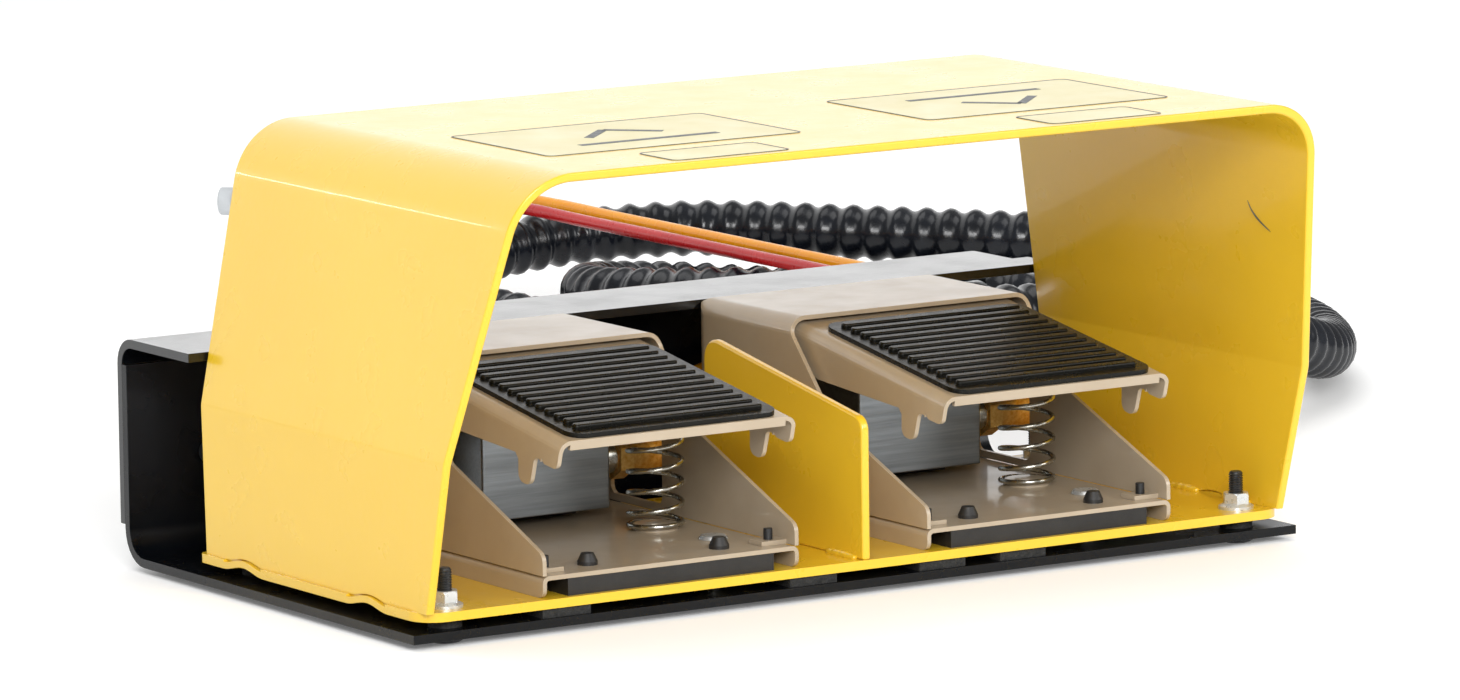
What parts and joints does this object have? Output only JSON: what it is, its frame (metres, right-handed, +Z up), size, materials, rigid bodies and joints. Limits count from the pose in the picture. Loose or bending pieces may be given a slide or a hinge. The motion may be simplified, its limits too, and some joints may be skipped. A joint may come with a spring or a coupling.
{
  "type": "pneumatic twin foot switch",
  "caption": "Foot-operated pneumatic switch: spring-return foot valves side by side under a folded yellow sheet guard, on a black base plate with a rear hose channel and ribbed conduit.",
  "frame": {"origin": "under the middle of the object without its conduit, on the surface it stands on", "axes": "X to the right seen from the pedals, Y to the rear, Z up"},
  "size_m": [0.5995, 0.7264, 0.1533],
  "materials": {
    "black_coat": "glossy powder coat",
    "yellow_coat": "powder coat with orange peel",
    "beige_coat": "satin enamel",
    "black_steel": "black oxide",
    "zinc": "zinc plated",
    "aluminium": "brushed",
    "brass": "sintered and turned",
    "black_rubber": "matt",
    "black_foam": "open-pored",
    "grey_plastic": "moulded",
    "conduit_black": "semi-matt",
    "orange_tube": "translucent polyurethane",
    "red_tube": "translucent polyurethane"
  },
  "bodies": {
    "frame": {"base_plate": "black_coat", "rear_bracket": "black_coat", "bracket_screws": "black_steel", "floor_pads": "black_foam", "guard_floor": "yellow_coat", "guard_hood": "yellow_coat", "centre_divider": "yellow_coat", "foot_bolts": "black_steel", "flange_nuts": "zinc", "left_tray": "beige_coat", "left_mat": "black_rubber", "left_tray_screws": "zinc", "left_housing": "beige_coat", "left_housing_screws": "black_steel", "left_gasket": "black_rubber", "left_valve_block": "aluminium", "left_silencer": "brass", "left_outlet_fitting": "grey_plastic", "left_hinge_pins": "zinc", "left_spring": "zinc", "right_tray": "beige_coat", "right_mat": "black_rubber", "right_tray_screws": "zinc", "right_housing": "beige_coat", "right_housing_screws": "black_steel", "right_gasket": "black_rubber", "right_valve_block": "aluminium", "right_silencer": "brass", "right_outlet_fitting": "grey_plastic", "right_hinge_pins": "zinc", "right_spring": "zinc", "left_channel_tube": "orange_tube", "right_channel_tube": "red_tube", "conduit_clip": "zinc", "clip_screw": "black_steel", "conduit_run": "conduit_black", "conduit_coil": "conduit_black", "conduit_end": "conduit_black", "conduit_cuff": "conduit_black", "orange_tail": "orange_tube", "red_tail": "red_tube", "orange_fitting": "grey_plastic", "red_fitting": "grey_plastic"},
    "left_pedal": {"left_pedal": "beige_coat", "left_pedal_pad": "black_rubber"},
    "right_pedal": {"right_pedal": "beige_coat", "right_pedal_pad": "black_rubber"},
    "left_plunger": {"left_plunger": "zinc"},
    "right_plunger": {"right_plunger": "zinc"}
  },
  "joints": [
    {"name": "left_pedal_hinge", "type": "hinge", "parent": "frame", "child": "left_pedal", "pos_m": [-0.0735, 0.0285, 0.0573], "axis": [1, 0, 0], "range_deg": [0, 10], "stiffness_Nm_per_rad": 4, "springref_deg": -14.32, "deforming": ["left_spring"]},
    {"name": "left_plunger_slide", "type": "slide", "parent": "frame", "child": "left_plunger", "axis": [0, 0, -1], "range_m": [0, 0.003]},
    {"name": "right_pedal_hinge", "type": "hinge", "parent": "frame", "child": "right_pedal", "pos_m": [0.0735, 0.0285, 0.0573], "axis": [1, 0, 0], "range_deg": [0, 10], "stiffness_Nm_per_rad": 4, "springref_deg": -14.32, "deforming": ["right_spring"]},
    {"name": "right_plunger_slide", "type": "slide", "parent": "frame", "child": "right_plunger", "axis": [0, 0, -1], "range_m": [0, 0.003]}
  ],
  "couplings": [
    {"joint": "left_plunger_slide", "follows": "left_pedal_hinge", "m_per_rad": 0.0145},
    {"joint": "right_plunger_slide", "follows": "right_pedal_hinge", "m_per_rad": 0.0145}
  ]
}
